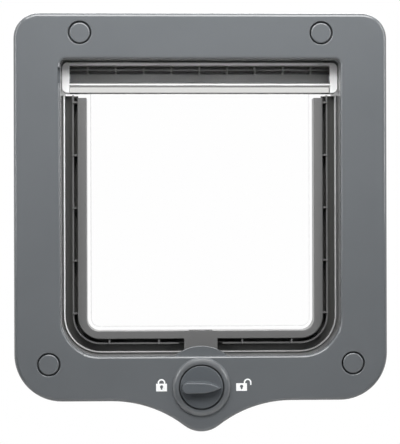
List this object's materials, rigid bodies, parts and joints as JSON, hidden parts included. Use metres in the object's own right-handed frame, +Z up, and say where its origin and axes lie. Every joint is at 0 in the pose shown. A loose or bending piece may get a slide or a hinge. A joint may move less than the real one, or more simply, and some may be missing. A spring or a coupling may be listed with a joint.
{
  "type": "cat flap",
  "caption": "Two-way cat flap for a door: a clear swinging flap in a grey moulded frame, with a knob that lifts a forked bolt to lock it and a rear frame for the far side.",
  "frame": {"origin": "middle of the passage, on the door face that the front frame rests on", "axes": "+X to the right seen from the room, +Y rearwards through the door, +Z up"},
  "size_m": [0.197, 0.0502, 0.2209],
  "materials": {
    "grey_shell": "satin moulded ABS, slate grey",
    "grey_channel": "satin moulded ABS, neutral grey",
    "clear_flap": "clear moulded plastic",
    "grey_knob": "satin moulded ABS, slate grey",
    "grey_mechanism": "moulded acetal, dark grey",
    "steel_fasteners": "zinc-plated steel"
  },
  "bodies": {
    "frame": {"front_frame": "grey_shell", "flap_surround": "grey_channel", "rear_frame": "grey_shell", "lock_cover": "grey_mechanism", "hinge_pin_left": "steel_fasteners", "hinge_pin_right": "steel_fasteners", "lock_cover_screw_left": "steel_fasteners", "lock_cover_screw_right": "steel_fasteners", "fixing_screw_top_left": "steel_fasteners", "fixing_screw_top_right": "steel_fasteners", "fixing_screw_bottom_left": "steel_fasteners", "fixing_screw_bottom_right": "steel_fasteners", "screw_cap_top_left": "grey_shell", "screw_cap_top_right": "grey_shell", "screw_cap_bottom_left": "grey_shell", "screw_cap_bottom_right": "grey_shell"},
    "flap": {"flap": "clear_flap"},
    "knob": {"lock_knob": "grey_knob", "lock_cam": "grey_mechanism", "knob_screw": "steel_fasteners"},
    "bolt": {"lock_bolt": "grey_mechanism"}
  },
  "joints": [
    {"name": "flap_swing", "type": "hinge", "parent": "frame", "child": "flap", "pos_m": [0, 0.0055, 0.0696], "axis": [1, 0, 0], "range_deg": [-70, 70]},
    {"name": "knob_turn", "type": "hinge", "parent": "frame", "child": "knob", "pos_m": [0, 0, -0.0946], "axis": [0, -1, 0], "range_deg": [0, 180]},
    {"name": "bolt_lift", "type": "slide", "parent": "frame", "child": "bolt", "axis": [0, 0, 1], "range_m": [0, 0.0055]}
  ],
  "couplings": [
    {"joint": "knob_turn", "follows": "bolt_lift", "rad_per_m": 571.2}
  ]
}
